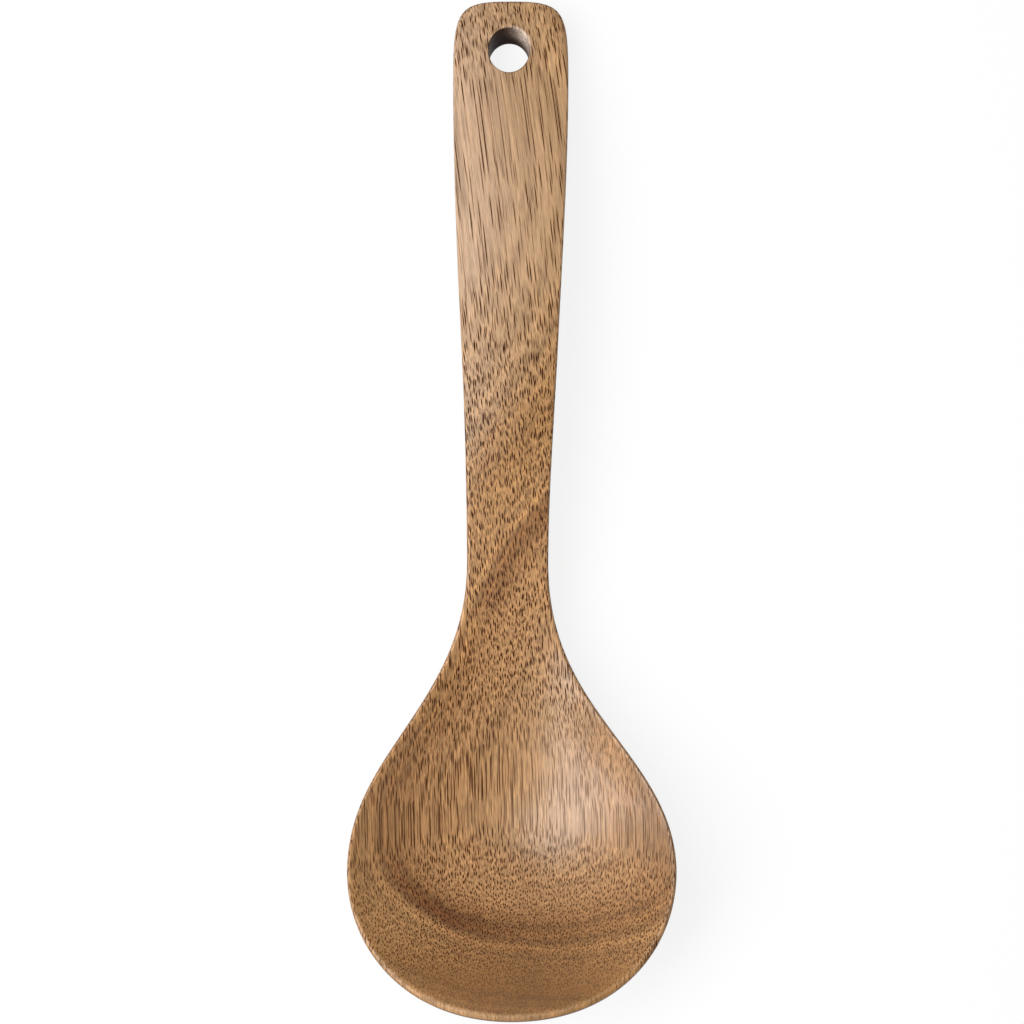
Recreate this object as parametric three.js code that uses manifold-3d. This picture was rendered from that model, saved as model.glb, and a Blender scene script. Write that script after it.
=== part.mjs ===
import * as THREE from 'three';
import { ParametricGeometry } from 'three/addons/geometries/ParametricGeometry.js';
import { mergeVertices } from 'three/addons/utils/BufferGeometryUtils.js';
import Module from 'manifold-3d';

// A wooden soup spoon, carved in one piece from one billet and drilled at the end for hanging.
// Millimetres. The origin is the middle of the flat sanded under the bowl, +Y runs along the handle
// and +Z is up. The spoon lies as on a table: on that flat and on the end of its arched handle.

// Plan outline, seen from above
const HANDLE_REACH = 193; // origin to the handle's end
const BOWL_REACH = 51.95; // origin to the front lip
const BOWL_WIDTH = 78.7;
const BOWL_WIDEST_AT = 17.5; // origin towards the lip
const NECK_WIDTH = 19.6;
const NECK_AT = 56.2;
const GRIP_WIDTH = 28;
const GRIP_WIDEST_FROM_END = 17.9;

// How far each stretch of the outline runs straight on before it bends to the next
const END_RUN_ACROSS = 12.2;
const END_RUN_ALONG = 16.5;
const GRIP_RUN = 37;
const NECK_RUN_TO_GRIP = 34.5;
const NECK_RUN_TO_BOWL = 36.1;
const BOWL_RUN_TO_NECK = 27.6;
const BOWL_RUN_TO_LIP = 17.1;
const LIP_RUN = 26;

// How far the hand-shaped middle line strays to the right of the straight line
const END_STRAY = 0.1;
const GRIP_STRAY = 0.1;
const CREST_STRAY = -0.15;
const NECK_STRAY = -0.65;
const THROAT_STRAY = -0.9;
const BOWL_STRAY = 0.35;
const LIP_STRAY = 0.4;

// Side view: heights of the top face above the table, along the middle line
const FLOOR_HEIGHT = 5; // bottom of the hollow
const THROAT_AT = 28; // where the hollow climbs most steeply to the neck
const THROAT_HEIGHT = 10;
const THROAT_SLOPE = 0.34;
const CREST_AT = 108; // top of the handle's arch
const CREST_HEIGHT = 21;
const END_HEIGHT = 7.5;
const END_SLOPE = -0.28;

// Side view: heights of the edge, where the top face would meet the side if it were not rounded
const LIP_HEIGHT = 32.6;
const LIP_SLOPE = -0.3;
const SIDE_HEIGHT = 22.6;
const SIDE_SLOPE = -0.2;
const SHOULDER_AT = 48; // where the bowl's rim becomes the handle's edge
const SHOULDER_HEIGHT = 15.3;
const SHOULDER_SLOPE = 0.2;
const GRIP_CROWN = 0.35; // fall of the handle's top face from its middle to its edge

// Thicknesses, from the top face down to the underside
const SANDED_DEPTH = 1.2; // taken off under the bowl to make the flat
const NECK_THICKNESS = 12;
const NECK_UNDER_SLOPE = 0.17;
const GRIP_THICKNESS = 10;
const END_THICKNESS = 9.1;
const END_UNDER_SLOPE = -0.2;
const RIM_THICKNESS = 4.8; // measured straight down, at the bowl's edge
const SHOULDER_EDGE_THICKNESS = 8.6;
const GRIP_EDGE_THICKNESS = 7;
const END_EDGE_THICKNESS = 6.4;

// Roundings and the hanging hole
const LIP_ROUNDING = 1.5; // radius of the top edge at the front of the bowl
const RIM_ROUNDING = 0.7; // at the bowl's sides
const SHOULDER_ROUNDING = 0.8;
const GRIP_ROUNDING = 0.8;
const END_ROUNDING = 0.8;
const RIM_UNDER_ROUNDING = 1.6; // radius of the lower edge at the bowl
const GRIP_UNDER_ROUNDING = 3.4;
const HOLE_WIDTH = 10;
const HOLE_LENGTH = 11.7; // along the handle, a little longer than wide
const HOLE_FROM_END = 12.5;
const HOLE_STRAY = -0.35;
const HOLE_EASING = 0.3;

// Shape of the sections: how much a face flattens again towards its edge
const EDGE_FLATTENING = 0.15;
const SPINE_SOFTNESS = 22; // how gently the sections turn round the bottom of the bowl

// Fineness of the surface
const END_RUNGS = 10;
const GRIP_RUNGS = 18;
const FLARE_RUNGS = 16;
const LIP_RUNGS = 14;
const FACE_STEPS = 6;
const ROUNDING_STEPS = 4;
const HOLE_SIDES = 32;
const LEAST_SPINE_STEP = 1;
const LEAST_UNDER_RUN = 0.4; // share of its radius that a lower edge takes at least
const WELD_DISTANCE = 1e-4;

const gripWidestAt = HANDLE_REACH - GRIP_WIDEST_FROM_END;
const holeAt = HANDLE_REACH - HOLE_FROM_END;

// A smooth value along the spoon, through stations of place, value and slope.
function smoothCurve(stations) {
  return (along) => {
    const inside = stations.slice(1, -1);
    const passed = inside.filter((station) => along > station.at).length;
    const from = stations[passed];
    const to = stations[passed + 1];
    const span = to.at - from.at;
    const t = THREE.MathUtils.clamp((along - from.at) / span, 0, 1);
    const rise = (to.value - from.value) * t * t * (3 - 2 * t);
    const leaving = from.slope * span * t * (1 - t) * (1 - t);
    const arriving = to.slope * span * t * t * (t - 1);
    return from.value + rise + leaving + arriving;
  };
}

const topMiddle = smoothCurve([
  { at: 0, value: FLOOR_HEIGHT, slope: 0 },
  { at: THROAT_AT, value: THROAT_HEIGHT, slope: THROAT_SLOPE },
  { at: CREST_AT, value: CREST_HEIGHT, slope: 0 },
  { at: HANDLE_REACH, value: END_HEIGHT, slope: END_SLOPE },
]);

const topEdge = smoothCurve([
  { at: -BOWL_REACH, value: LIP_HEIGHT, slope: LIP_SLOPE },
  { at: -BOWL_WIDEST_AT, value: SIDE_HEIGHT, slope: SIDE_SLOPE },
  { at: SHOULDER_AT, value: SHOULDER_HEIGHT, slope: SHOULDER_SLOPE },
  { at: CREST_AT, value: CREST_HEIGHT - GRIP_CROWN, slope: 0 },
  { at: HANDLE_REACH, value: END_HEIGHT - GRIP_CROWN, slope: END_SLOPE },
]);

const underMiddle = smoothCurve([
  { at: 0, value: -SANDED_DEPTH, slope: 0 },
  { at: SHOULDER_AT, value: topMiddle(SHOULDER_AT) - NECK_THICKNESS, slope: NECK_UNDER_SLOPE },
  { at: CREST_AT, value: CREST_HEIGHT - GRIP_THICKNESS, slope: 0 },
  { at: HANDLE_REACH, value: END_HEIGHT - END_THICKNESS, slope: END_UNDER_SLOPE },
]);

const edgeThickness = smoothCurve([
  { at: -BOWL_WIDEST_AT, value: RIM_THICKNESS, slope: 0 },
  { at: SHOULDER_AT, value: SHOULDER_EDGE_THICKNESS, slope: 0 },
  { at: CREST_AT, value: GRIP_EDGE_THICKNESS, slope: 0 },
  { at: HANDLE_REACH, value: END_EDGE_THICKNESS, slope: 0 },
]);

const edgeRounding = smoothCurve([
  { at: -BOWL_REACH, value: LIP_ROUNDING, slope: 0 },
  { at: -BOWL_WIDEST_AT, value: RIM_ROUNDING, slope: 0 },
  { at: SHOULDER_AT, value: SHOULDER_ROUNDING, slope: 0 },
  { at: CREST_AT, value: GRIP_ROUNDING, slope: 0 },
  { at: HANDLE_REACH, value: END_ROUNDING, slope: 0 },
]);

const underRounding = smoothCurve([
  { at: -BOWL_WIDEST_AT, value: RIM_UNDER_ROUNDING, slope: 0 },
  { at: SHOULDER_AT, value: GRIP_UNDER_ROUNDING, slope: 0 },
]);

const stray = smoothCurve([
  { at: -BOWL_REACH, value: LIP_STRAY, slope: 0 },
  { at: -BOWL_WIDEST_AT, value: BOWL_STRAY, slope: 0 },
  { at: THROAT_AT, value: THROAT_STRAY, slope: 0 },
  { at: NECK_AT, value: NECK_STRAY, slope: 0 },
  { at: CREST_AT, value: CREST_STRAY, slope: 0 },
  { at: gripWidestAt, value: GRIP_STRAY, slope: 0 },
  { at: HANDLE_REACH, value: END_STRAY, slope: 0 },
]);

// One side of the outline, from the middle of the handle's end round to the middle of the lip.
function halfOutline() {
  const place = (across, along) => new THREE.Vector2(across, along);
  const gripEdge = place(GRIP_WIDTH / 2, gripWidestAt);
  const neckEdge = place(NECK_WIDTH / 2, NECK_AT);
  const bowlEdge = place(BOWL_WIDTH / 2, -BOWL_WIDEST_AT);
  const end = new THREE.CubicBezierCurve(
    place(0, HANDLE_REACH),
    place(END_RUN_ACROSS, HANDLE_REACH),
    place(gripEdge.x, gripEdge.y + END_RUN_ALONG),
    gripEdge,
  );
  const grip = new THREE.CubicBezierCurve(
    gripEdge,
    place(gripEdge.x, gripEdge.y - GRIP_RUN),
    place(neckEdge.x, neckEdge.y + NECK_RUN_TO_GRIP),
    neckEdge,
  );
  const flare = new THREE.CubicBezierCurve(
    neckEdge,
    place(neckEdge.x, neckEdge.y - NECK_RUN_TO_BOWL),
    place(bowlEdge.x, bowlEdge.y + BOWL_RUN_TO_NECK),
    bowlEdge,
  );
  const lip = new THREE.CubicBezierCurve(
    bowlEdge,
    place(bowlEdge.x, bowlEdge.y - BOWL_RUN_TO_LIP),
    place(LIP_RUN, -BOWL_REACH),
    place(0, -BOWL_REACH),
  );
  return [
    ...end.getPoints(END_RUNGS),
    ...grip.getPoints(GRIP_RUNGS).slice(1),
    ...flare.getPoints(FLARE_RUNGS).slice(1),
    ...lip.getPoints(LIP_RUNGS).slice(1),
  ];
}

// Where the rung that ends at a place on the outline starts on the middle line: straight across from
// it, but all rungs round the lip gather over the flat, and all rungs round the end start in the hole.
function spineStart(along) {
  if (along > holeAt - LEAST_SPINE_STEP) {
    return holeAt;
  }
  if (along > SPINE_SOFTNESS) {
    return along;
  }
  const gathered = Math.max(0, along + SPINE_SOFTNESS) ** 2 / (4 * SPINE_SOFTNESS);
  return gathered < LEAST_SPINE_STEP ? 0 : gathered;
}

// How far a face has risen or fallen at a share of the way from the middle line to its edge.
function swell(share) {
  return (1 + EDGE_FLATTENING) * share ** 2 - EDGE_FLATTENING * share ** 4;
}

// One rung: its start, its length, and for each face the run and the depth of its rounded edge.
// A rounding is a quarter ellipse that leaves the face along its own slope and ends upright, at the
// same height on both faces.
function rungTo(edge) {
  const start = spineStart(edge.y);
  const length = Math.hypot(edge.x, edge.y - start);
  const share = start === holeAt ? (2 * edge.x) / GRIP_WIDTH : 1;
  const steepness = 2 * (1 + EDGE_FLATTENING) * share - 4 * EDGE_FLATTENING * share ** 3;
  const face = (middle, edgeHeight) => {
    const rise = edgeHeight - middle(edge.y);
    const fall = middle(edge.y) - middle(edge.y - LEAST_SPINE_STEP);
    const climb = rise * steepness * share + (fall / LEAST_SPINE_STEP) * (edge.y - start);
    return { middle, rise, tilt: Math.atan(climb / length), corner: middle(edge.y) + rise * swell(share) };
  };
  const top = face(topMiddle, topEdge(edge.y));
  const under = face(underMiddle, topEdge(edge.y) - edgeThickness(edge.y));
  const radius = edgeRounding(edge.y);
  top.run = radius * (1 + Math.sin(top.tilt));
  top.depth = radius * Math.cos(top.tilt) + top.run * Math.tan(top.tilt);
  under.run = underRounding(edge.y) * Math.max(LEAST_UNDER_RUN, 1 - Math.sin(under.tilt));
  under.depth = under.corner - (top.corner - top.depth);
  return { edge, start, length, share, top, under };
}

// The whole surface: u goes once round the outline from the handle's end, and v goes along a rung
// from the middle line over the top face, round the edge and back along the underside.
function spoonSurface(outline) {
  const rungs = outline.map(rungTo);
  const faceShare = FACE_STEPS / (FACE_STEPS + ROUNDING_STEPS);
  return (u, v, target) => {
    const side = u < 0.5 ? 1 : -1;
    const rung = rungs[Math.round((1 - Math.abs(2 * u - 1)) * (rungs.length - 1))];
    const onTop = v <= 0.5;
    const face = onTop ? rung.top : rung.under;
    const roundedFrom = 1 - face.run / rung.length;

    // q is 0 on the middle line and 1 on the outline, and turn is 0 to 1 over the rounding.
    const travelled = 1 - Math.abs(2 * v - 1);
    const turn = Math.max(0, (travelled - faceShare) / (1 - faceShare));
    const overRounding = Math.sin((turn * Math.PI) / 2);
    const q = turn > 0
      ? roundedFrom + (1 - roundedFrom) * overRounding
      : (roundedFrom * travelled) / faceShare;

    const along = rung.start + (rung.edge.y - rung.start) * q;
    const inset = face.depth * (1 - Math.sqrt(Math.max(0, 1 - overRounding * overRounding)));
    const height = face.middle(along) + face.rise * swell(rung.share * q) - inset;
    target.set(stray(along) + side * rung.edge.x * q, along, onTop ? height : Math.max(height, 0));
  };
}

// A closed solid from a geometry: its corners welded and its triangles without area left out.
function solidFrom(wasm, geometry) {
  const bare = geometry.clone();
  bare.deleteAttribute('normal');
  bare.deleteAttribute('uv');
  const welded = mergeVertices(bare, WELD_DISTANCE);
  const corners = welded.index.array;
  const kept = [];
  for (let k = 0; k < corners.length; k += 3) {
    const [a, b, c] = corners.slice(k, k + 3);
    if (a !== b && b !== c && c !== a) {
      kept.push(a, b, c);
    }
  }
  return new wasm.Manifold(new wasm.Mesh({
    numProp: 3,
    vertProperties: new Float32Array(welded.attributes.position.array),
    triVerts: new Uint32Array(kept),
  }));
}

function geometryFrom(solid) {
  const mesh = solid.getMesh();
  const geometry = new THREE.BufferGeometry();
  geometry.setAttribute('position', new THREE.BufferAttribute(mesh.vertProperties, 3));
  geometry.setIndex(new THREE.BufferAttribute(mesh.triVerts, 1));
  geometry.computeVertexNormals();
  return geometry;
}

// The drill that makes the hanging hole, square to the handle's top face, with both rims eased.
function holeDrill() {
  const thickness = topMiddle(holeAt) - underMiddle(holeAt);
  const radius = HOLE_WIDTH / 2;
  const profile = [
    new THREE.Vector2(0, -thickness - HOLE_EASING),
    new THREE.Vector2(radius + 2 * HOLE_EASING, -thickness - HOLE_EASING),
    new THREE.Vector2(radius, -thickness + HOLE_EASING),
    new THREE.Vector2(radius, -HOLE_EASING),
    new THREE.Vector2(radius + 2 * HOLE_EASING, HOLE_EASING),
    new THREE.Vector2(0, HOLE_EASING),
  ];
  const drill = new THREE.LatheGeometry(profile, HOLE_SIDES);
  const fall = topMiddle(holeAt + HOLE_LENGTH / 2) - topMiddle(holeAt - HOLE_LENGTH / 2);
  drill.scale(1, 1, HOLE_LENGTH / HOLE_WIDTH);
  drill.rotateX(Math.PI / 2 + Math.atan2(fall, HOLE_LENGTH));
  drill.translate(HOLE_STRAY, holeAt, topMiddle(holeAt));
  return drill;
}

const wasm = await Module();
wasm.setup();

const outline = halfOutline();
const surface = new ParametricGeometry(
  spoonSurface(outline),
  2 * (outline.length - 1),
  2 * (FACE_STEPS + ROUNDING_STEPS),
);
const blank = solidFrom(wasm, surface);
const drilled = blank.subtract(solidFrom(wasm, holeDrill()));

const oiledWood = new THREE.MeshStandardMaterial({ color: 0xb98a5a, roughness: 0.5, metalness: 0 });
const carvedSpoon = new THREE.Mesh(geometryFrom(drilled), oiledWood);
carvedSpoon.name = 'carved_spoon';

const spoon = new THREE.Group();
spoon.add(carvedSpoon);

export default spoon;
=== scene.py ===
import bmesh
import bpy
import numpy as np
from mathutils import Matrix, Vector


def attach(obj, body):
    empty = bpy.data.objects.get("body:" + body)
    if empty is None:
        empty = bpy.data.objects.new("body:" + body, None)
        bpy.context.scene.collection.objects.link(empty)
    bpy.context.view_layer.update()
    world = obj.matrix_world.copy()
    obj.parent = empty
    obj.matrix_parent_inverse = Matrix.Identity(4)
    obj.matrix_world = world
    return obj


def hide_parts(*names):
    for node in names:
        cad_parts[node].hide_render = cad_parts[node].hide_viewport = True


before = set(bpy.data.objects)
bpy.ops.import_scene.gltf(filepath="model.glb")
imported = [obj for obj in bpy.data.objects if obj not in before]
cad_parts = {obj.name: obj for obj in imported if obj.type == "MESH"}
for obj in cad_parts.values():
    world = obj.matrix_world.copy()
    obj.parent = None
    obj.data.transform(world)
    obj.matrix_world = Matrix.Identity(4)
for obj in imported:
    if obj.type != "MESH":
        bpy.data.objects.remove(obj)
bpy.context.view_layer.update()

# The carved spoon: bowl, neck and handle in one piece.
# It is open-pored hardwood, sawn to the outline, hollowed, rounded at its edges, sanded flat where the
# bowl rests, drilled through the handle end for hanging, and finished with oil.
MM = 0.001
HANDLE_REACH = 193.0
BOWL_REACH = 51.95
HALF_BOWL = 39.35
BOWL_WIDEST_AT = -17.5
THROAT_AT = 28.0
SHOULDER_AT = 48.0
HALF_NECK = 9.8
NECK_AT = 56.2
CREST_AT = 108.0
HALF_GRIP = 14.0
GRIP_WIDEST_AT = 175.1

# How far each stretch of the outline runs straight on before it bends to the next, and its rungs.
END_RUN_ACROSS = 12.2
END_RUN_ALONG = 16.5
GRIP_RUN = 37.0
NECK_RUN_TO_GRIP = 34.5
NECK_RUN_TO_BOWL = 36.1
BOWL_RUN_TO_NECK = 27.6
BOWL_RUN_TO_LIP = 17.1
LIP_RUN = 26.0
END_RUNGS = 60
GRIP_RUNGS = 90
FLARE_RUNGS = 84
LIP_RUNGS = 70


def bezier_run(start, pull_start, pull_finish, finish, count):
    """Points of a cubic Bezier run from start up to, but without, finish: the four corners weighted
    by the Bernstein polynomials of an even parameter."""
    t = np.linspace(0.0, 1.0, count, endpoint=False)[:, None]
    corners = [np.array(corner, dtype=float) for corner in (start, pull_start, pull_finish, finish)]
    weights = ((1 - t) ** 3, 3 * t * (1 - t) ** 2, 3 * t * t * (1 - t), t ** 3)
    return sum(weight * corner for weight, corner in zip(weights, corners))


# Half of the outline seen from above, from the middle of the handle end round to the middle of the lip.
end_middle = (0.0, HANDLE_REACH)
grip_edge = (HALF_GRIP, GRIP_WIDEST_AT)
neck_edge = (HALF_NECK, NECK_AT)
bowl_edge = (HALF_BOWL, BOWL_WIDEST_AT)
lip_middle = (0.0, -BOWL_REACH)
half_outline = np.concatenate((
    bezier_run(end_middle, (END_RUN_ACROSS, HANDLE_REACH),
               (HALF_GRIP, GRIP_WIDEST_AT + END_RUN_ALONG), grip_edge, END_RUNGS),
    bezier_run(grip_edge, (HALF_GRIP, GRIP_WIDEST_AT - GRIP_RUN),
               (HALF_NECK, NECK_AT + NECK_RUN_TO_GRIP), neck_edge, GRIP_RUNGS),
    bezier_run(neck_edge, (HALF_NECK, NECK_AT - NECK_RUN_TO_BOWL),
               (HALF_BOWL, BOWL_WIDEST_AT + BOWL_RUN_TO_NECK), bowl_edge, FLARE_RUNGS),
    bezier_run(bowl_edge, (HALF_BOWL, BOWL_WIDEST_AT - BOWL_RUN_TO_LIP),
               (LIP_RUN, -BOWL_REACH), lip_middle, LIP_RUNGS),
    [lip_middle],
))
edge_x, edge_y = half_outline.T


def curve_through(*stations):
    """Smooth curve through (place, value, slope) stations.

    Each run is a cubic that meets both stations with their slopes; past the ends it stays level.
    """
    places, values, slopes = np.array(stations, dtype=float).T

    def value_at(where):
        where = np.asarray(where, dtype=float)
        run = np.clip(np.searchsorted(places, where, side="right") - 1, 0, len(places) - 2)
        span = places[run + 1] - places[run]
        t = np.clip((where - places[run]) / span, 0.0, 1.0)
        step = (values[run + 1] - values[run]) * t * t * (3.0 - 2.0 * t)
        lean = slopes[run] * t * (1.0 - t) ** 2 + slopes[run + 1] * t * t * (t - 1.0)
        return values[run] + step + span * lean

    return value_at


def slope_of(curve, where):
    """Slope of a curve, as its change over a short step to both sides."""
    step = 0.05
    return (curve(where + step) - curve(where - step)) / (2.0 * step)


# The hand-shaped middle line strays a little from straight, to the right where the value is positive.
LIP_STRAY = 0.4
BOWL_STRAY = 0.35
THROAT_STRAY = -0.9
NECK_STRAY = -0.65
CREST_STRAY = -0.15
GRIP_STRAY = 0.1
stray = curve_through(
    (-BOWL_REACH, LIP_STRAY, 0), (BOWL_WIDEST_AT, BOWL_STRAY, 0), (THROAT_AT, THROAT_STRAY, 0),
    (NECK_AT, NECK_STRAY, 0), (CREST_AT, CREST_STRAY, 0), (GRIP_WIDEST_AT, GRIP_STRAY, 0),
    (HANDLE_REACH, GRIP_STRAY, 0))

# Heights of the top face above the table, along the middle and along the edge.
FLOOR_HEIGHT = 5.0
THROAT_HEIGHT = 10.0
THROAT_SLOPE = 0.34
CREST_HEIGHT = 21.0
END_HEIGHT = 7.5
END_SLOPE = -0.28
LIP_HEIGHT = 32.52
LIP_SLOPE = -0.3
SIDE_HEIGHT = 22.6
SIDE_SLOPE = -0.2
SHOULDER_HEIGHT = 15.3
SHOULDER_SLOPE = 0.2
GRIP_CROWN = 0.35
top_middle = curve_through(
    (0, FLOOR_HEIGHT, 0), (THROAT_AT, THROAT_HEIGHT, THROAT_SLOPE), (CREST_AT, CREST_HEIGHT, 0),
    (HANDLE_REACH, END_HEIGHT, END_SLOPE))
top_edge = curve_through(
    (-BOWL_REACH, LIP_HEIGHT, LIP_SLOPE), (BOWL_WIDEST_AT, SIDE_HEIGHT, SIDE_SLOPE),
    (SHOULDER_AT, SHOULDER_HEIGHT, SHOULDER_SLOPE), (CREST_AT, CREST_HEIGHT - GRIP_CROWN, 0),
    (HANDLE_REACH, END_HEIGHT - GRIP_CROWN, END_SLOPE))

# Thicknesses from the top face down to the underside, along the middle and along the edge.
SANDED_DEPTH = 1.2
NECK_THICKNESS = 12.0
NECK_UNDER_SLOPE = 0.17
GRIP_THICKNESS = 10.0
END_THICKNESS = 9.1
END_UNDER_SLOPE = -0.2
RIM_THICKNESS = 4.8
SHOULDER_EDGE_THICKNESS = 8.6
GRIP_EDGE_THICKNESS = 7.0
END_EDGE_THICKNESS = 6.4
under_middle = curve_through(
    (0, -SANDED_DEPTH, 0), (SHOULDER_AT, float(top_middle(SHOULDER_AT)) - NECK_THICKNESS, NECK_UNDER_SLOPE),
    (CREST_AT, CREST_HEIGHT - GRIP_THICKNESS, 0),
    (HANDLE_REACH, END_HEIGHT - END_THICKNESS, END_UNDER_SLOPE))
edge_thickness = curve_through(
    (BOWL_WIDEST_AT, RIM_THICKNESS, 0), (SHOULDER_AT, SHOULDER_EDGE_THICKNESS, 0),
    (CREST_AT, GRIP_EDGE_THICKNESS, 0), (HANDLE_REACH, END_EDGE_THICKNESS, 0))

# Radii of the upper and the lower edge, and the least share of its radius that a lower edge takes.
LIP_ROUNDING = 1.5
RIM_ROUNDING = 0.7
GRIP_ROUNDING = 0.8
RIM_UNDER_ROUNDING = 1.6
GRIP_UNDER_ROUNDING = 3.4
LEAST_UNDER_RUN = 0.4
top_rounding = curve_through(
    (-BOWL_REACH, LIP_ROUNDING, 0), (BOWL_WIDEST_AT, RIM_ROUNDING, 0), (SHOULDER_AT, GRIP_ROUNDING, 0))
under_rounding = curve_through(
    (BOWL_WIDEST_AT, RIM_UNDER_ROUNDING, 0), (SHOULDER_AT, GRIP_UNDER_ROUNDING, 0))

# The hole is drilled square to the top face, which slopes down towards the handle end there. The drill
# comes out where its depth and the height of the underside agree, which a few rounds find.
HOLE_HALF_WIDTH = 5.0
HOLE_HALF_LENGTH = 5.85
HOLE_AT = 180.5
HOLE_STRAY = -0.35
DEPTH_GUESS = 9.0
DEPTH_ROUNDS = 6
hole_tilt = float(np.arctan(slope_of(top_middle, HOLE_AT)))
drill = np.array([0.0, np.sin(hole_tilt), -np.cos(hole_tilt)])
drilled_depth = DEPTH_GUESS
for _ in range(DEPTH_ROUNDS):
    exit_y = HOLE_AT + drill[1] * drilled_depth
    drilled_depth = float((top_middle(HOLE_AT) - np.maximum(under_middle(exit_y), 0.0)) / -drill[2])

# Rungs from the handle end down to the skirt start on the hole's rim, spread so that they go all round it.
# Further down they lean towards the hole less and less, until they run straight out.
HOLE_SKIRT = 16.0
HOLE_BLEND = 45.0
skirt_at = HOLE_AT - HOLE_SKIRT
hole_rungs = edge_y >= skirt_at
towards_edge = np.arctan2(edge_x, edge_y - HOLE_AT)
last_hole_angle = towards_edge[hole_rungs].max()
turned_on = (np.minimum(towards_edge, last_hole_angle) / last_hole_angle) ** 3
hole_angle = np.where(hole_rungs, towards_edge + (np.pi - last_hole_angle) * turned_on, np.pi)
past_skirt = np.clip((skirt_at - edge_y) / HOLE_BLEND, 0.0, 1.0)
near_hole = (1.0 - past_skirt) ** 2 * (1.0 + 2.0 * past_skirt)

# The rim of the hole is eased all round, and worn wider on the right, from twelve to four o'clock.
SIDES = (1.0, -1.0)
RIM_EASING = 0.14
RIM_WEAR = 0.36
WORN_TOWARDS = 0.95
WORN_SPREAD = 0.75
hole_easing = {}
for side in SIDES:
    worn = np.exp(-((hole_angle * side - WORN_TOWARDS) / WORN_SPREAD) ** 2)
    hole_easing[side] = RIM_EASING + RIM_WEAR * worn

# How much a face flattens again towards its edge, how gently the rungs gather at the bottom of the bowl,
# how softly the sanded flat begins, and how fine the grids are.
EDGE_FLATTENING = 0.15
SPINE_SOFTNESS = 22.0
FLAT_SOFTNESS = 0.06
FACE_ROWS = 40
ROUND_ROWS = 12
RIM_ROWS = 5
WALL_ROWS = 8


def swell(share):
    """Rise of a face at a share q of the way from the middle to its edge: (1 + f) q^2 - f q^4, where f
    is the flattening."""
    return (1.0 + EDGE_FLATTENING) * share ** 2 - EDGE_FLATTENING * share ** 4


def eased_to_zero(value, softness):
    """A value kept from falling below 0: unchanged above softness, a parabola from there to minus
    softness, and 0 below."""
    parabola = (np.maximum(value, -softness) + softness) ** 2 / (4.0 * softness)
    return np.where(value > softness, value, parabola)


def face_at_edge(middle, edge_height, start_x, start_y):
    """Rise, tilt and height of a face where it would meet the outline: the tilt is the slope of the
    swell and of the middle line, taken along the rung."""
    rise = edge_height - middle(edge_y)
    share = np.where(hole_rungs, edge_x / HALF_GRIP, 1.0)
    turning = np.where(hole_rungs, (edge_x - start_x) / HALF_GRIP, 1.0)
    steepness = 2.0 * (1.0 + EDGE_FLATTENING) * share - 4.0 * EDGE_FLATTENING * share ** 3
    climb = rise * steepness * turning + slope_of(middle, edge_y) * (edge_y - start_y)
    tilt = np.arctan(climb / np.hypot(edge_x - start_x, edge_y - start_y))
    return rise, tilt, middle(edge_y) + rise * swell(share)


def rung_starts(hole_y, side):
    """Where the rungs of a face start: on the rim of the hole round the handle end, and else on the
    middle line at their own place along the spoon, drawn towards the hole near it and gathered at the
    deepest point of the bowl by a parabola."""
    half_width = HOLE_HALF_WIDTH + hole_easing[side]
    half_length = (HOLE_HALF_LENGTH + hole_easing[side]) * np.cos(hole_tilt)
    last_y = hole_y - half_length[hole_rungs][-1]
    drawn = edge_y + (last_y - skirt_at) * near_hole
    on_spine = eased_to_zero(drawn, SPINE_SOFTNESS)
    start_x = np.where(hole_rungs, half_width * np.sin(hole_angle), 0.0)
    start_y = np.where(hole_rungs, hole_y + half_length * np.cos(hole_angle), on_spine)
    return start_x, start_y


def spoon_face(on_top, side):
    """One face of one half of the spoon as a grid: rows run from the middle out to the edge, columns
    follow the outline.

    Height is the middle's height plus the edge's rise times the swell. Over the last stretch a quarter
    ellipse turns the face to upright, at one height for both faces. The underside is sanded flat at 0.
    """
    start_x, start_y = rung_starts(HOLE_AT if on_top else exit_y, side)
    top_start_x, top_start_y = rung_starts(HOLE_AT, side)
    middle = top_middle
    edge_top = top_edge(edge_y)
    rise, tilt, corner = face_at_edge(middle, edge_top, top_start_x, top_start_y)
    run = top_rounding(edge_y) * (1.0 + np.sin(tilt))
    depth = top_rounding(edge_y) * np.cos(tilt) + run * np.tan(tilt)
    if not on_top:
        upright_at = corner - depth
        middle = under_middle
        rise, tilt, corner = face_at_edge(middle, edge_top - edge_thickness(edge_y), start_x, start_y)
        run = under_rounding(edge_y) * np.maximum(1.0 - np.sin(tilt), LEAST_UNDER_RUN)
        depth = corner - upright_at
    round_from = 1.0 - run / np.hypot(edge_x - start_x, edge_y - start_y)
    turn = np.sin(np.linspace(0.0, np.pi / 2.0, ROUND_ROWS + 1))[1:, None]
    face_rows = np.linspace(0.0, 1.0, FACE_ROWS + 1)[:, None] * round_from
    q = np.concatenate((face_rows, round_from + (1.0 - round_from) * turn))
    inset = np.concatenate((np.zeros_like(face_rows), (1.0 - np.sqrt(1.0 - turn ** 2)) * depth))
    out_x = start_x + (edge_x - start_x) * q
    along = start_y + (edge_y - start_y) * q
    height = middle(along) + rise * swell(np.where(hole_rungs, out_x / HALF_GRIP, q)) - inset
    if not on_top:
        height = eased_to_zero(height, FLAT_SOFTNESS)
    middle_x = stray(along) + (HOLE_STRAY - stray(along)) * near_hole * (1.0 - q)
    return np.stack((middle_x + side * out_x, along, height), axis=-1)


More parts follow.
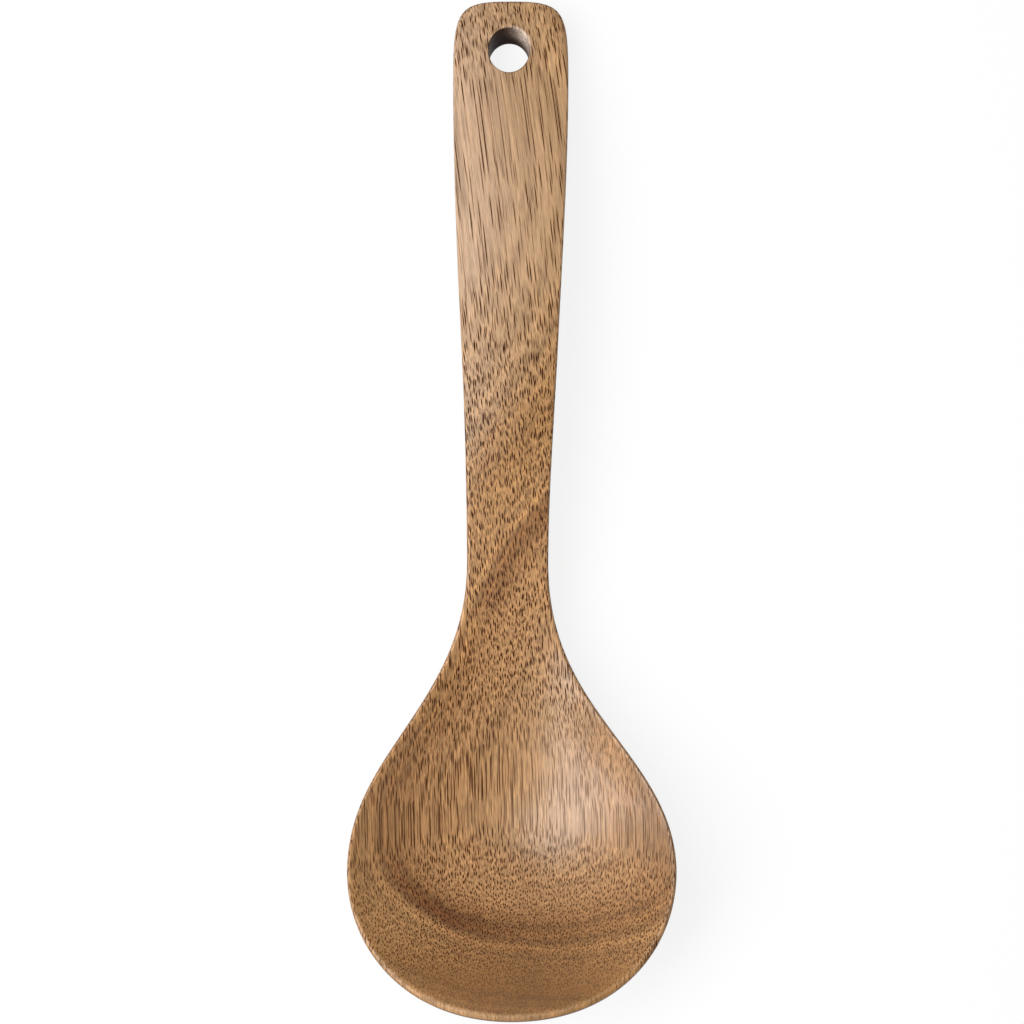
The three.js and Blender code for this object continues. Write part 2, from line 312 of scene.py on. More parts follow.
def hole_wall(top, under, side):
    """The drilled wall on one half: columns follow the hole's rim, rows go down along the drill, with a
    quarter round of the easing's radius at both ends."""
    columns = np.flatnonzero(hole_rungs)
    angle = hole_angle[columns]
    easing = hole_easing[side][columns][:, None]
    outwards = np.stack((side * np.sin(angle), np.cos(angle) * np.cos(hole_tilt),
                         np.cos(angle) * np.sin(hole_tilt)), axis=-1)
    turn = np.linspace(0.0, np.pi / 2.0, RIM_ROWS + 1)[:, None, None]
    inset = easing * np.sin(turn)
    sunk = easing * (1.0 - np.cos(turn))
    upper = top[0, columns] - outwards * inset + drill * sunk
    lower = under[0, columns] - outwards * inset - drill * sunk
    down = np.linspace(0.0, 1.0, WALL_ROWS + 1)[1:-1, None, None]
    between = upper[-1] + (lower[-1] - upper[-1]) * down
    return np.concatenate((upper, between, lower[::-1]))


def grid_faces(grid, first):
    """Corner numbers of every cell of a grid of points, counted from first."""
    rows, columns = grid.shape[:2]
    number = first + np.arange(rows * columns).reshape(rows, columns)
    cells = (number[:-1, :-1], number[:-1, 1:], number[1:, 1:], number[1:, :-1])
    return np.stack(cells, axis=-1).reshape(-1, 4)


# The grids meet at the outline, the hole's rims and the middle line: their points are welded there, and all
# faces are turned outwards.
WELD_DISTANCE = 0.002 * MM
grids = []
for side in SIDES:
    top_grid = spoon_face(True, side)
    under_grid = spoon_face(False, side)
    grids += [top_grid, under_grid, hole_wall(top_grid, under_grid, side)]
counts = [grid.shape[0] * grid.shape[1] for grid in grids]
firsts = np.concatenate(([0], np.cumsum(counts)[:-1]))
points = np.concatenate([grid.reshape(-1, 3) for grid in grids]) * MM
cells = np.concatenate([grid_faces(grid, first) for grid, first in zip(grids, firsts)])
spoon_mesh = bpy.data.meshes.new("spoon")
spoon_mesh.from_pydata(points, [], cells)
shell = bmesh.new()
shell.from_mesh(spoon_mesh)
bmesh.ops.remove_doubles(shell, verts=shell.verts, dist=WELD_DISTANCE)
bmesh.ops.recalc_face_normals(shell, faces=shell.faces)
shell.to_mesh(spoon_mesh)
shell.free()
spoon_mesh.polygons.foreach_set("use_smooth", np.ones(len(spoon_mesh.polygons), dtype=bool))
spoon_mesh.update()
spoon = bpy.data.objects.new("spoon", spoon_mesh)
bpy.context.scene.collection.objects.link(spoon)

# How the grain runs: along a fibre x + LEAN y + LEAN_BEND y^2 stays the same, and towards the handle end the
# fibre sinks in smooth steps, or rises where the depth is negative. A step gives where it starts and ends,
# how deep it goes, and how much less at the sides, as a share for each square millimetre of x.
LEAN = 0.03
LEAN_BEND = 0.0003
GRAIN_STEPS = (
    (-30.0, 4.0, 3.1, 0.0006),
    (-2.0, 44.0, -3.2, 0.0),
    (60.0, 130.0, 6.5, 0.0),
    (115.0, 205.0, 12.6, 0.0),
)


def keep_on_vertices(name, values):
    """Stores one number for each vertex of the spoon, under a name that the wood reads."""
    spoon_mesh.attributes.new(name, "FLOAT", "POINT").data.foreach_set("value", values)


# End grain takes more oil and goes darker: its share is how squarely the surface cuts the fibres, whose
# slope is that of the smooth steps, 6 t (1 - t) over the length of a step.
vertex_count = len(spoon_mesh.vertices)
places = np.empty(vertex_count * 3)
normals = np.empty(vertex_count * 3)
spoon_mesh.vertices.foreach_get("co", places)
spoon_mesh.vertex_normals.foreach_get("vector", normals)
places = places.reshape(-1, 3) / MM
normals = normals.reshape(-1, 3)
place_x = places[:, 0]
place_y = places[:, 1]
dips = np.zeros(vertex_count)
for start, end, sunk, sideways in GRAIN_STEPS:
    passed = np.clip((place_y - start) / (end - start), 0.0, 1.0)
    dips += 6.0 * passed * (1.0 - passed) * sunk / (end - start) * (1.0 - sideways * place_x ** 2)
fibre = np.stack((-(LEAN + 2.0 * LEAN_BEND * place_y), np.ones(vertex_count), -dips), axis=-1)
fibre /= np.linalg.norm(fibre, axis=1)[:, None]
keep_on_vertices("end_grain", np.abs(np.sum(fibre * normals, axis=1)))

# The drilled wall is darkened, both as wood scorched by the drill and as painted shade in the hole, except
# at the upper right, where pale fibres were torn out and painted light brightens the side that faces the
# lamp. Reaches are shares of the hole's radius, and the torn, lit patch is given by its depth and direction.
SCORCH_SHADE_REACH = 1.035
SCORCH_SHADE_FADE = 0.03
LIT_TORN_REACH = 1.16
LIT_TORN_FADE = 0.08
LIT_TORN_DEPTH = 7.5
LIT_TORN_DEPTH_FADE = 4.0
LIT_TORN_TOWARDS = 0.8
LIT_TORN_SPREAD = 0.6
from_axis = places - np.array([HOLE_STRAY, HOLE_AT, float(top_middle(HOLE_AT))])
depth_in_hole = from_axis @ drill
from_axis -= np.outer(depth_in_hole, drill)
bore_along = np.hypot(from_axis[:, 1], from_axis[:, 2]) / HOLE_HALF_LENGTH
bore_share = np.hypot(from_axis[:, 0] / HOLE_HALF_WIDTH, bore_along)
keep_on_vertices("drilled", np.clip((SCORCH_SHADE_REACH - bore_share) / SCORCH_SHADE_FADE, 0.0, 1.0))
torn_and_lit = np.clip((LIT_TORN_REACH - bore_share) / LIT_TORN_FADE, 0.0, 1.0)
torn_and_lit *= np.clip((LIT_TORN_DEPTH - depth_in_hole) / LIT_TORN_DEPTH_FADE, 0.0, 1.0)
torn_and_lit *= np.exp(-((np.arctan2(from_axis[:, 0], from_axis[:, 1]) - LIT_TORN_TOWARDS) / LIT_TORN_SPREAD) ** 2)
keep_on_vertices("torn_and_lit", torn_and_lit)

# The wood itself, one material for the whole spoon. A mix node keeps its colour sockets behind those for
# numbers and vectors, so they are taken by their count.
oiled_wood = bpy.data.materials.new("oiled_wood")
oiled_wood.use_nodes = True
wood_tree = oiled_wood.node_tree
wood_finish = wood_tree.nodes["Principled BSDF"]
MIX_FIRST_COLOUR = 6
MIX_SECOND_COLOUR = 7
MIX_COLOUR_OUT = 2


def feed(socket, source):
    """Links a socket to another one, or sets it to a plain value."""
    if isinstance(source, bpy.types.NodeSocket):
        wood_tree.links.new(source, socket)
    else:
        socket.default_value = source


def calc(operation, *sources):
    """One math node; its inputs are sockets or numbers."""
    node = wood_tree.nodes.new("ShaderNodeMath")
    node.operation = operation
    for socket, source in zip(node.inputs, sources):
        feed(socket, source)
    return node.outputs["Value"]


def total(first, *others):
    """The sum of sockets or numbers, added from left to right."""
    for other in others:
        first = calc("ADD", first, other)
    return first


def product(first, *others):
    """The product of sockets or numbers, multiplied from left to right."""
    for other in others:
        first = calc("MULTIPLY", first, other)
    return first


def ramp(source, low, high, to_low=0.0, to_high=1.0, curve="SMOOTHSTEP"):
    """A value carried from low..high to to_low..to_high and held past the ends, as a smooth step or
    straight."""
    node = wood_tree.nodes.new("ShaderNodeMapRange")
    node.interpolation_type = curve
    for name, value in (("Value", source), ("From Min", low), ("From Max", high), ("To Min", to_low),
                        ("To Max", to_high)):
        feed(node.inputs[name], value)
    return node.outputs["Result"]


def vector_calc(operation, *sources, result="Vector"):
    """One vector math node; its inputs are sockets or plain vectors."""
    node = wood_tree.nodes.new("ShaderNodeVectorMath")
    node.operation = operation
    for socket, source in zip(node.inputs, sources):
        feed(socket, source)
    return node.outputs[result]


def kept_number(name):
    """The number that the surface keeps under a name."""
    node = wood_tree.nodes.new("ShaderNodeAttribute")
    node.attribute_name = name
    return node.outputs["Fac"]


def srgb(red, green, blue):
    """A screen colour of 0 to 255 as linear light, by the standard screen curve."""
    screen = np.array([red, green, blue]) / 255.0
    linear = np.where(screen <= 0.04045, screen / 12.92, ((screen + 0.055) / 1.055) ** 2.4)
    return (*linear.tolist(), 1.0)


def mixed(blend, factor, first, second):
    """One colour mix node."""
    node = wood_tree.nodes.new("ShaderNodeMix")
    node.data_type = "RGBA"
    node.blend_type = blend
    node.clamp_factor = True
    feed(node.inputs["Factor"], factor)
    feed(node.inputs[MIX_FIRST_COLOUR], first)
    feed(node.inputs[MIX_SECOND_COLOUR], second)
    return node.outputs[MIX_COLOUR_OUT]


def grey(source):
    """A value as a colour."""
    node = wood_tree.nodes.new("ShaderNodeCombineColor")
    for socket in node.inputs:
        feed(socket, source)
    return node.outputs["Color"]


# The place in the grain, in millimetres: straightened by the lean and the steps, so that fibres run along y.
place = wood_tree.nodes.new("ShaderNodeTexCoord")
in_mm = vector_calc("MULTIPLY", place.outputs["Object"], (1.0 / MM, 1.0 / MM, 1.0 / MM))
split = wood_tree.nodes.new("ShaderNodeSeparateXYZ")
feed(split.inputs["Vector"], in_mm)
across, along, height = split.outputs
dip = 0.0
for start, end, sunk, sideways in GRAIN_STEPS:
    share = calc("MULTIPLY_ADD", product(across, across), -sideways, 1.0)
    dip = calc("MULTIPLY_ADD", ramp(along, start, end, 0.0, sunk), share, dip)
leaning = product(along, calc("MULTIPLY_ADD", along, LEAN_BEND, LEAN))
joined = wood_tree.nodes.new("ShaderNodeCombineXYZ")
feed(joined.inputs["X"], total(across, leaning))
feed(joined.inputs["Y"], along)
feed(joined.inputs["Z"], total(height, dip))
grain_place = joined.outputs["Vector"]


def stretched(across_step, along_step):
    """Place in the grain, counted in steps of so many millimetres across and along the fibres."""
    return vector_calc("MULTIPLY", grain_place, (1.0 / across_step, 1.0 / along_step, 1.0 / across_step))


def grain_noise(across_step, along_step, detail=2.0):
    """Smooth noise around 0, whose lumps are so many millimetres across and along the fibres."""
    node = wood_tree.nodes.new("ShaderNodeTexNoise")
    node.inputs["Scale"].default_value = 1.0
    node.inputs["Detail"].default_value = detail
    feed(node.inputs["Vector"], stretched(across_step, along_step))
    return calc("SUBTRACT", node.outputs["Fac"], 0.5)


# Growth rings: nearly flat layers that rise along the handle, tip across the neck and dish under the bowl.
# Stretches say where a change starts and ends, and the layers are lifted by millimetres of height.
LIP_TO_FLOOR = (-52.0, 0.0)
FLOOR_TO_NECK = (0.0, 45.0)
THROAT_TO_NECK = (10.0, 60.0)
NECK_TO_CREST = (45.0, 105.0)
NECK_TO_GRIP = (60.0, 110.0)
NECK_TO_END = (60.0, 193.0)
LIFT_AT_LIP = -4.7
LIFT_AT_NECK = -5.0
LIFT_AT_CREST = 4.0
LIFT_AT_END = 22.0
TIP_AT_NECK = 0.48
TIP_LOST_AT_GRIP = 0.28
DISH_BEND = 0.003
DISH_MIDDLE = -12.0
BROAD_WAVES = (25.0, 60.0)
BROAD_WAVE_HEIGHT = 3.0
NARROW_WAVES = (1.6, 30.0)
NARROW_WAVE_HEIGHT = 1.2
lift = total(
    ramp(along, *LIP_TO_FLOOR, LIFT_AT_LIP, 0.0, "LINEAR"), ramp(along, *FLOOR_TO_NECK, 0.0, LIFT_AT_NECK),
    ramp(along, *NECK_TO_END, 0.0, LIFT_AT_END, "LINEAR"), ramp(along, *NECK_TO_CREST, 0.0, LIFT_AT_CREST))
tip_lost = ramp(along, *NECK_TO_GRIP, 0.0, TIP_LOST_AT_GRIP)
tip = calc("SUBTRACT", ramp(along, *FLOOR_TO_NECK, 0.0, TIP_AT_NECK), tip_lost)
from_dish = calc("SUBTRACT", across, DISH_MIDDLE)
dish = product(ramp(along, *THROAT_TO_NECK, DISH_BEND, 0.0), product(from_dish, from_dish))
ring = calc("SUBTRACT", total(height, lift), product(tip, across))
ring = calc("SUBTRACT", ring, dish)
ring = calc("MULTIPLY_ADD", grain_noise(*BROAD_WAVES), BROAD_WAVE_HEIGHT, ring)
ring = calc("MULTIPLY_ADD", grain_noise(*NARROW_WAVES), NARROW_WAVE_HEIGHT, ring)

# The colour of the wood from layer to layer: brown and yellowish below, paler and pinker towards the top.
RING_SPAN = 40.0
RING_COLOURS = (
    (4.0, (192, 148, 101)),
    (7.0, (189, 143, 95)),
    (8.8, (193, 146, 97)),
    (11.2, (187, 139, 90)),
    (13.0, (184, 136, 86)),
    (16.5, (190, 143, 92)),
    (19.0, (186, 139, 87)),
    (21.8, (178, 131, 78)),
    (24.5, (180, 135, 86)),
    (27.0, (188, 148, 106)),
    (30.5, (194, 157, 121)),
    (33.5, (207, 173, 143)),
    (35.5, (217, 184, 158)),
)
ring_chart = wood_tree.nodes.new("ShaderNodeValToRGB")
while len(ring_chart.color_ramp.elements) < len(RING_COLOURS):
    ring_chart.color_ramp.elements.new(0.5)
for stop, (level, colour) in zip(ring_chart.color_ramp.elements, RING_COLOURS):
    stop.position = level / RING_SPAN
    stop.color = srgb(*colour)
feed(ring_chart.inputs["Fac"], calc("DIVIDE", ring, RING_SPAN))

# Thin layers within the growth rings are lighter and darker by turns.
LAYER_CONTRAST = 0.8
layers = wood_tree.nodes.new("ShaderNodeTexNoise")
layers.noise_dimensions = "1D"
layers.inputs["Scale"].default_value = 1.0
layers.inputs["Detail"].default_value = 2.0
feed(layers.inputs["W"], ring)
layering = calc("MULTIPLY_ADD", calc("SUBTRACT", layers.outputs["Fac"], 0.5), LAYER_CONTRAST, 1.0)

# One dark layer shows as a band round the lower left of the bowl, fading to the right and up the wall, and
# as a softer band across the neck.
DARK_RING_COMES = (9.9, 13.6)
DARK_RING_GOES = (13.8, 15.1)
DARK_TINT = (0.36, 0.24, 0.13, 1.0)
BAND_FADES_UP = (-30.0, -8.0)
BAND_LOW_DEPTH = 0.92
BAND_HIGH_DEPTH = 0.18
BAND_FADES_RIGHT = (-18.0, 8.0)
BAND_RIGHT_SHARE = 0.28
BAND_GONE_BY_THROAT = (5.0, 25.0)
NECK_BAND_COMES = (38.0, 52.0)
NECK_BAND_GOES = (75.0, 95.0)
NECK_BAND_DEPTH = 0.5
in_bowl = product(
    ramp(along, *BAND_FADES_UP, BAND_LOW_DEPTH, BAND_HIGH_DEPTH),
    ramp(across, *BAND_FADES_RIGHT, 1.0, BAND_RIGHT_SHARE),
    ramp(along, *BAND_GONE_BY_THROAT, 1.0, 0.0))
in_neck = product(
    ramp(along, *NECK_BAND_COMES, 0.0, NECK_BAND_DEPTH), ramp(along, *NECK_BAND_GOES, 1.0, 0.0))
dark_layer = product(
    ramp(ring, *DARK_RING_COMES), ramp(ring, *DARK_RING_GOES, 1.0, 0.0), total(in_bowl, in_neck))
wood_colour = mixed("MULTIPLY", dark_layer, ring_chart.outputs["Color"], DARK_TINT)

# Painted shade: the bowl's colour is a little darker right of the middle and along its right edge,
# to tone down the soft box's light and gloss on the wall that faces it.
RIGHT_SHADE_COMES = (-14.0, 8.0)
RIGHT_SHADE_DEPTH = 0.14
RIGHT_SHADE_EASES = (13.0, 24.0)
RIGHT_SHADE_EASING = -0.03
EDGE_SHADE_COMES = (25.0, 33.0)
EDGE_SHADE_DEPTH = 0.21
EDGE_SHADE_ABOVE = (-22.0, -10.0)
RIGHT_SHADE_GONE_BY_NECK = (12.0, 45.0)
painted_edge_shade = product(ramp(across, *EDGE_SHADE_COMES, 0.0, EDGE_SHADE_DEPTH), ramp(along, *EDGE_SHADE_ABOVE))
painted_right_shade = total(
    ramp(across, *RIGHT_SHADE_COMES, 0.0, RIGHT_SHADE_DEPTH), ramp(across, *RIGHT_SHADE_EASES, 0.0, RIGHT_SHADE_EASING), painted_edge_shade)
painted_right_shade = product(painted_right_shade, ramp(along, *RIGHT_SHADE_GONE_BY_NECK, 1.0, 0.0))

# Where the marks are fainter: along the handle and a little at the bowl's left rim, where the wood is
# plainer, and on the bowl's right wall, where they are faded as painted sheen under the highlight.
HANDLE_PLAIN_COMES = (90.0, 135.0)
HANDLE_PLAIN_GOES = (165.0, 188.0)
PLAIN_AT_END = 0.4
SHEEN_FADE_COMES = (-8.0, 14.0)
SHEEN_FADE_LEFT = 0.08
SHEEN_FADE_RIGHT = 0.5
SHEEN_FADE_EASES = (25.0, 32.0)
SHEEN_FADE_AT_RIM = 0.65
SHEEN_FADE_ABOVE = (-20.0, -8.0)
SHEEN_FADE_AT_LIP = 0.3
LEFT_RIM = (-30.0, -20.0)
LEFT_RIM_CALM = 0.15
FAINT_GONE_BY_THROAT = (8.0, 28.0)
FAINT_WEIGHT = 1.5
on_handle = product(ramp(along, *HANDLE_PLAIN_COMES), ramp(along, *HANDLE_PLAIN_GOES, 1.0, PLAIN_AT_END))
# On the bowl's right wall the marks fade as painted sheen where the highlight lies.
sheen_faded_wall = product(
    ramp(across, *SHEEN_FADE_COMES, SHEEN_FADE_LEFT, SHEEN_FADE_RIGHT), ramp(across, *SHEEN_FADE_EASES, 1.0, SHEEN_FADE_AT_RIM),
    ramp(along, *SHEEN_FADE_ABOVE, SHEEN_FADE_AT_LIP, 1.0))
left_rim = ramp(across, *LEFT_RIM, LEFT_RIM_CALM, 0.0)
calm_and_sheen = product(total(sheen_faded_wall, left_rim), ramp(along, *FAINT_GONE_BY_THROAT, 1.0, 0.0))
plainness_and_sheen = calc("MAXIMUM", on_handle, product(calm_and_sheen, FAINT_WEIGHT))

# Fibres: fine pale and dark streaks along the grain, short flecks between them, and soft broad ribbons.
# Sizes are across and along the grain, and contrasts are those of lively wood and of plain wood with the
# painted sheen above.
FIBRE_SIZE = (0.28, 14.0)
FIBRE_DETAIL = 2.0
FIBRE_CONTRAST = (1.4, 0.8)
FLECK_SIZE = (0.25, 2.5)
FLECK_DETAIL = 1.0
FLECK_CONTRAST = (1.1, 0.5)
RIBBON_SIZE = (3.0, 70.0)
RIBBON_CONTRAST = 0.3
fibre_contrast = ramp(plainness_and_sheen, 0.0, 1.0, *FIBRE_CONTRAST, "LINEAR")
fibres = calc("MULTIPLY_ADD", grain_noise(*FIBRE_SIZE, FIBRE_DETAIL), fibre_contrast, 1.0)
fleck_contrast = ramp(plainness_and_sheen, 0.0, 1.0, *FLECK_CONTRAST, "LINEAR")
flecks = calc("MULTIPLY_ADD", grain_noise(*FLECK_SIZE, FLECK_DETAIL), fleck_contrast, 1.0)
ribbons = calc("MULTIPLY_ADD", grain_noise(*RIBBON_SIZE), RIBBON_CONTRAST, 1.0)
streaks = product(fibres, flecks, ribbons)
# The painted shade on the bowl's right side darkens the streaks and layers here.
shading = product(streaks, layering, calc("SUBTRACT", 1.0, painted_right_shade))

# End grain is darker and browner, from where the surface cuts the fibres at a fair angle.
END_GRAIN_COMES = (0.44, 0.72)
END_GRAIN_DEPTH = 0.7
END_GRAIN_TINT = (0.39, 0.25, 0.05, 1.0)
cut_across = ramp(kept_number("end_grain"), *END_GRAIN_COMES, 0.0, END_GRAIN_DEPTH)
wood_colour = mixed("MULTIPLY", cut_across, wood_colour, END_GRAIN_TINT)
wood_colour = mixed("MULTIPLY", 1.0, wood_colour, grey(shading))

# Pores: long thin open vessels along the grain, seen as lines, dashes or dots as the surface cuts them,
# the wider ones in a sheath of browner wood. Radii are shares of the spacing, and each vessel's chance
# decides how dark it is.
PORE_SPACING = 0.56
PORE_RUN = 40.0
PORE_EDGE = (0.2, 0.32)
PORE_CHANCES = (-0.3, 0.55)
SHEATH_EDGE = (0.25, 0.5)
SHEATH_DEPTH = 0.5
SHEATH_TINT = srgb(210, 172, 128)
FINE_SPACING = 0.35
FINE_RUN = 25.0
FINE_EDGE = (0.17, 0.31)
FINE_CHANCES = (-0.2, 1.0)
FINE_DEPTH = 0.9
TUBE_TAPER = (1.0, 0.25, 1.0)
PORE_COLOUR = srgb(52, 20, 1)


def vessel_distance(across_step, along_step):
    """Distance from the axis of the nearest of many scattered thin tubes along the grain, in steps
    across and growing a little towards the tube's ends, and a random number for each tube."""
    spot = stretched(across_step, along_step)
    node = wood_tree.nodes.new("ShaderNodeTexVoronoi")
    node.inputs["Scale"].default_value = 1.0
    feed(node.inputs["Vector"], spot)
    chance = wood_tree.nodes.new("ShaderNodeSeparateColor")
    feed(chance.inputs["Color"], node.outputs["Color"])
    offset = vector_calc("MULTIPLY", vector_calc("SUBTRACT", spot, node.outputs["Position"]), TUBE_TAPER)
    return vector_calc("LENGTH", offset, result="Value"), chance.outputs["Red"]


# They are fainter at the lip, at the bowl's left rim and under the painted sheen on its right wall, and
# fewer and thinner along the handle.
LIP_PORES_COME = (-50.0, -34.0)
LIP_PORE_SHARE = 0.25
FEWER_ON_HANDLE = 0.36
THINNER_ON_HANDLE = 0.12
pore_share = product(ramp(along, *LIP_PORES_COME, LIP_PORE_SHARE, 1.0), calc("SUBTRACT", 1.0, calm_and_sheen))
fewer = product(on_handle, FEWER_ON_HANDLE)
thinner = calc("MULTIPLY_ADD", on_handle, THINNER_ON_HANDLE, 1.0)
pore_distance, pore_chance = vessel_distance(PORE_SPACING, PORE_RUN)
pore_distance = product(pore_distance, thinner)
pore_depth = product(ramp(calc("SUBTRACT", pore_chance, fewer), *PORE_CHANCES), pore_share)
sheaths = product(ramp(pore_distance, *SHEATH_EDGE, SHEATH_DEPTH, 0.0), pore_depth)
wide_pores = product(ramp(pore_distance, *PORE_EDGE, 1.0, 0.0), pore_depth)
fine_distance, fine_chance = vessel_distance(FINE_SPACING, FINE_RUN)
fine_depth = product(ramp(calc("SUBTRACT", fine_chance, fewer), *FINE_CHANCES, 0.0, FINE_DEPTH), pore_share)
fine_pores = product(ramp(fine_distance, *FINE_EDGE, 1.0, 0.0), fine_depth)
pores = calc("MAXIMUM", wide_pores, fine_pores)
wood_colour = mixed("MULTIPLY", sheaths, wood_colour, SHEATH_TINT)
wood_colour = mixed("MIX", pores, wood_colour, PORE_COLOUR)

# Inside the hole: scorched wood with painted shade, and the pale torn fibres of the patch with painted light
# where the lamp falls.
SCORCH_SHADE_TINT = srgb(112, 90, 66)
LIT_TORN_COLOUR = srgb(236, 212, 194)
LIT_TORN_LUMPS = (0.5, 1.2)
LIT_TORN_LUMP_LEVELS = (-0.16, 0.06)
LIT_TORN_LEAST = 0.5
scorch_and_shade = kept_number("drilled")
# Scorched wood, darkened further as painted shade of the hole.
wood_colour = mixed("MULTIPLY", scorch_and_shade, wood_colour, SCORCH_SHADE_TINT)
lit_torn_lumps = ramp(grain_noise(*LIT_TORN_LUMPS), *LIT_TORN_LUMP_LEVELS, LIT_TORN_LEAST, 1.0)
# Pale torn fibres, made paler as painted light where the lamp falls on the hole's right side.
pale_lit_fibres = product(kept_number("torn_and_lit"), lit_torn_lumps)
wood_colour = mixed("MIX", pale_lit_fibres, wood_colour, LIT_TORN_COLOUR)
feed(wood_finish.inputs["Base Color"], wood_colour)

# The oil shines, but not in the pores or the hole. It has sunk in further along the handle and towards the
# lip, and shines less there.
OIL_ROUGHNESS = 0.3
PORE_ROUGHNESS = 0.3
PORE_DULLNESS = 0.85
SCORCH_DULLNESS = 4.0
DULL_SHINE = 0.05
LIP_SHINE_ENDS = (-14.0, -2.0)
LIP_SHINE = 0.58
BOWL_SHINE = 0.65
HANDLE_DULLS = (82.0, 116.0)
HANDLE_SHINE_LOST = 0.38
feed(wood_finish.inputs["Roughness"], calc("MULTIPLY_ADD", pores, PORE_ROUGHNESS, OIL_ROUGHNESS))
dull_hole = calc("MINIMUM", product(scorch_and_shade, SCORCH_DULLNESS), 1.0)
dull = calc("MAXIMUM", product(pores, PORE_DULLNESS), dull_hole)
shine_lost = ramp(along, *HANDLE_DULLS, 0.0, HANDLE_SHINE_LOST)
shine = calc("SUBTRACT", ramp(along, *LIP_SHINE_ENDS, LIP_SHINE, BOWL_SHINE), shine_lost)
shine = product(shine, ramp(dull, 0.0, 1.0, 1.0, DULL_SHINE, "LINEAR"))
feed(wood_finish.inputs["Specular IOR Level"], shine)

# Pores are open, and the fibres stand up a little: both are felt as a fine relief.
RELIEF_STRENGTH = 0.5
RELIEF_HEIGHT = 0.08 * MM
PORE_RELIEF = -0.2
STREAK_RELIEF = 0.15
relief = wood_tree.nodes.new("ShaderNodeBump")
relief.inputs["Strength"].default_value = RELIEF_STRENGTH
relief.inputs["Distance"].default_value = RELIEF_HEIGHT
feed(relief.inputs["Height"], calc("MULTIPLY_ADD", pores, PORE_RELIEF, product(streaks, STREAK_RELIEF)))
feed(wood_finish.inputs["Normal"], relief.outputs["Normal"])
spoon_mesh.materials.append(oiled_wood)
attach(spoon, "root")
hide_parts("carved_spoon")

# The table top under the spoon, and a low screen that stands far round it.
# Both are plain white: the table is card that keeps the soft shadow, and the screen shows only to the
# camera and in gloss, so that the room's light passes through it.
FLOOR_HALF = 8.0
SCREEN_HEIGHT = 3.0
CARD_GREY = (0.16, 0.16, 0.16, 1.0)
CARD_ROUGHNESS = 0.9
CARD_GLOW = 0.85
WHITE = (1.0, 1.0, 1.0, 1.0)
corners = np.array([(-1, -1), (1, -1), (1, 1), (-1, 1)]) * FLOOR_HALF
floor_mesh = bpy.data.meshes.new("floor")
floor_mesh.from_pydata([(x, y, 0.0) for x, y in corners], [], [(0, 1, 2, 3)])
floor = bpy.data.objects.new("floor", floor_mesh)
screen_mesh = bpy.data.meshes.new("screen")
screen_mesh.from_pydata([(x, y, z) for z in (0.0, SCREEN_HEIGHT) for x, y in corners], [],
                        [(0, 4, 5, 1), (1, 5, 6, 2), (2, 6, 7, 3), (3, 7, 4, 0)])
screen = bpy.data.objects.new("screen", screen_mesh)


def seen_directly(tree):
    """1 for what the camera sees, also in gloss or through glass, and 0 for light on its way: the
    largest of three light path values."""
    path = tree.nodes.new("ShaderNodeLightPath")
    either = path.outputs["Is Camera Ray"]
    for name in ("Is Glossy Ray", "Is Transmission Ray"):
        node = tree.nodes.new("ShaderNodeMath")
        node.operation = "MAXIMUM"
        tree.links.new(either, node.inputs[0])
        tree.links.new(path.outputs[name], node.inputs[1])
        either = node.outputs["Value"]
    return either


white_card = bpy.data.materials.new("white_card")
white_card.use_nodes = True
card_tree = white_card.node_tree
card_finish = card_tree.nodes["Principled BSDF"]
card_finish.inputs["Base Color"].default_value = CARD_GREY
card_finish.inputs["Roughness"].default_value = CARD_ROUGHNESS
card_finish.inputs["Specular IOR Level"].default_value = 0.0
card_finish.inputs["Emission Color"].default_value = WHITE
glow = card_tree.nodes.new("ShaderNodeMath")
glow.operation = "MULTIPLY"
glow.inputs[1].default_value = CARD_GLOW
card_tree.links.new(seen_directly(card_tree), glow.inputs[0])
card_tree.links.new(glow.outputs["Value"], card_finish.inputs["Emission Strength"])
floor_mesh.materials.append(white_card)

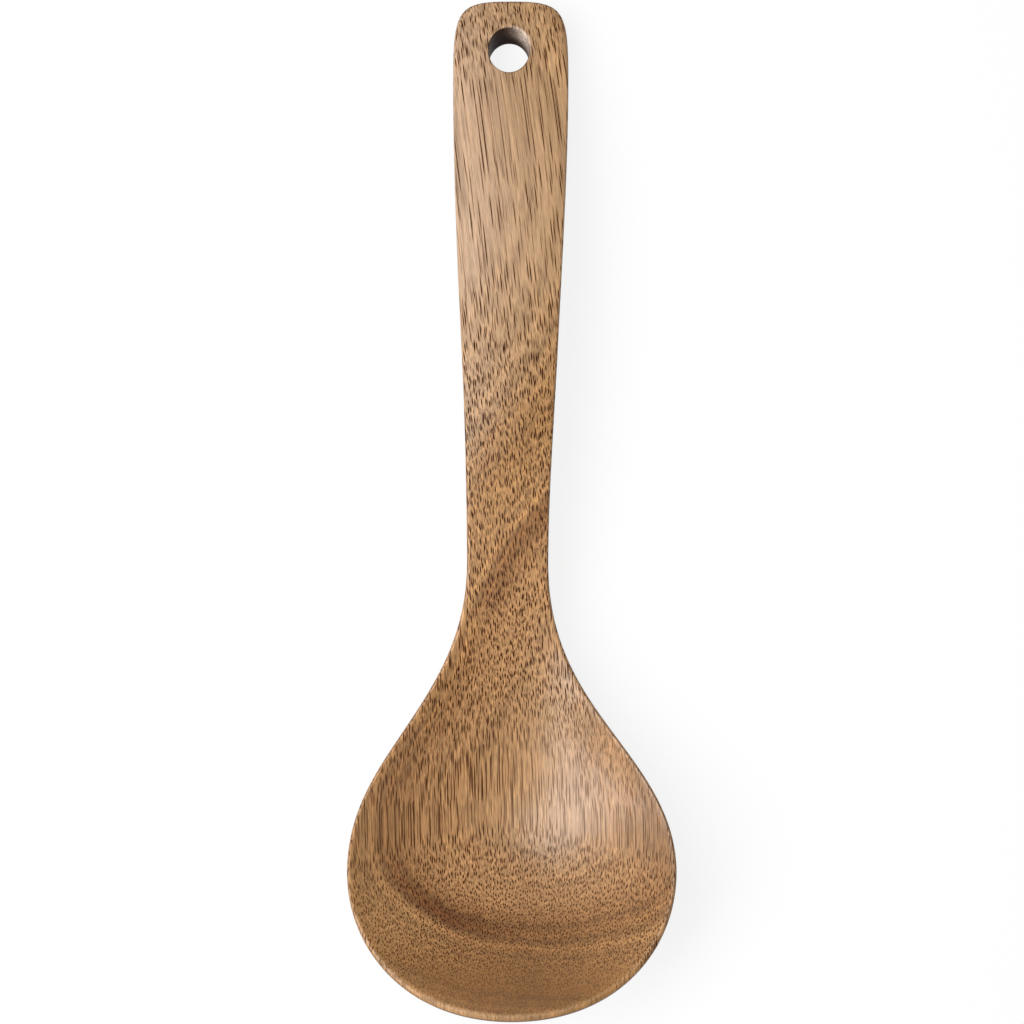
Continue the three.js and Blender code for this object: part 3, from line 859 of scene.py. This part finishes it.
white_screen = bpy.data.materials.new("white_screen")
white_screen.use_nodes = True
screen_tree = white_screen.node_tree
screen_tree.nodes.remove(screen_tree.nodes["Principled BSDF"])
lit = screen_tree.nodes.new("ShaderNodeEmission")
clear = screen_tree.nodes.new("ShaderNodeBsdfTransparent")
shown = screen_tree.nodes.new("ShaderNodeMixShader")
screen_tree.links.new(seen_directly(screen_tree), shown.inputs["Fac"])
screen_tree.links.new(clear.outputs["BSDF"], shown.inputs[1])
screen_tree.links.new(lit.outputs["Emission"], shown.inputs[2])
screen_tree.links.new(shown.outputs["Shader"], screen_tree.nodes["Material Output"].inputs["Surface"])
screen_mesh.materials.append(white_screen)
for backdrop in (floor, screen):
    bpy.context.scene.collection.objects.link(backdrop)

# The light: one large soft box to the left of the spoon, turned a little on its own axis, and an even
# pale room. Places and lengths are in metres, the spin in degrees.
BOX_FROM = Vector((-0.4, 0.005, 0.63))
BOX_AT = Vector((0.0, 0.02, 0.01))
BOX_SPIN = -40.0
BOX_LENGTH = 1.0
BOX_WIDTH = 0.36
BOX_POWER = 6.3
ROOM_LIGHT = 0.33
box_data = bpy.data.lights.new("soft_box", "AREA")
box_data.shape = "RECTANGLE"
box_data.size = BOX_LENGTH
box_data.size_y = BOX_WIDTH
box_data.energy = BOX_POWER
soft_box = bpy.data.objects.new("soft_box", box_data)
soft_box.location = BOX_FROM
soft_box.rotation_euler = (BOX_AT - BOX_FROM).to_track_quat("-Z", "Y").to_euler()
soft_box.rotation_euler.rotate_axis("Z", np.radians(BOX_SPIN))
bpy.context.scene.collection.objects.link(soft_box)
room = bpy.data.worlds.new("room")
room.use_nodes = True
room_light = room.node_tree.nodes["Background"]
room_light.inputs["Color"].default_value = WHITE
room_light.inputs["Strength"].default_value = ROOM_LIGHT
bpy.context.scene.world = room

# The camera: straight above the middle of the spoon, as in the photograph, with the spoon's whole length
# just inside the frame.
CAMERA_PLACE = (0.0004, 0.06819, 0.615)
CAMERA_SENSOR = 36.0
CAMERA_LENS = 87.43
CAMERA_NEAREST = 0.01
camera_data = bpy.data.cameras.new("camera")
camera_data.sensor_width = CAMERA_SENSOR
camera_data.lens = CAMERA_LENS
camera_data.clip_start = CAMERA_NEAREST
camera = bpy.data.objects.new("camera", camera_data)
camera.location = CAMERA_PLACE
bpy.context.scene.collection.objects.link(camera)
bpy.context.scene.camera = camera
bpy.context.scene.view_settings.view_transform = "Standard"

bpy.context.view_layer.update()
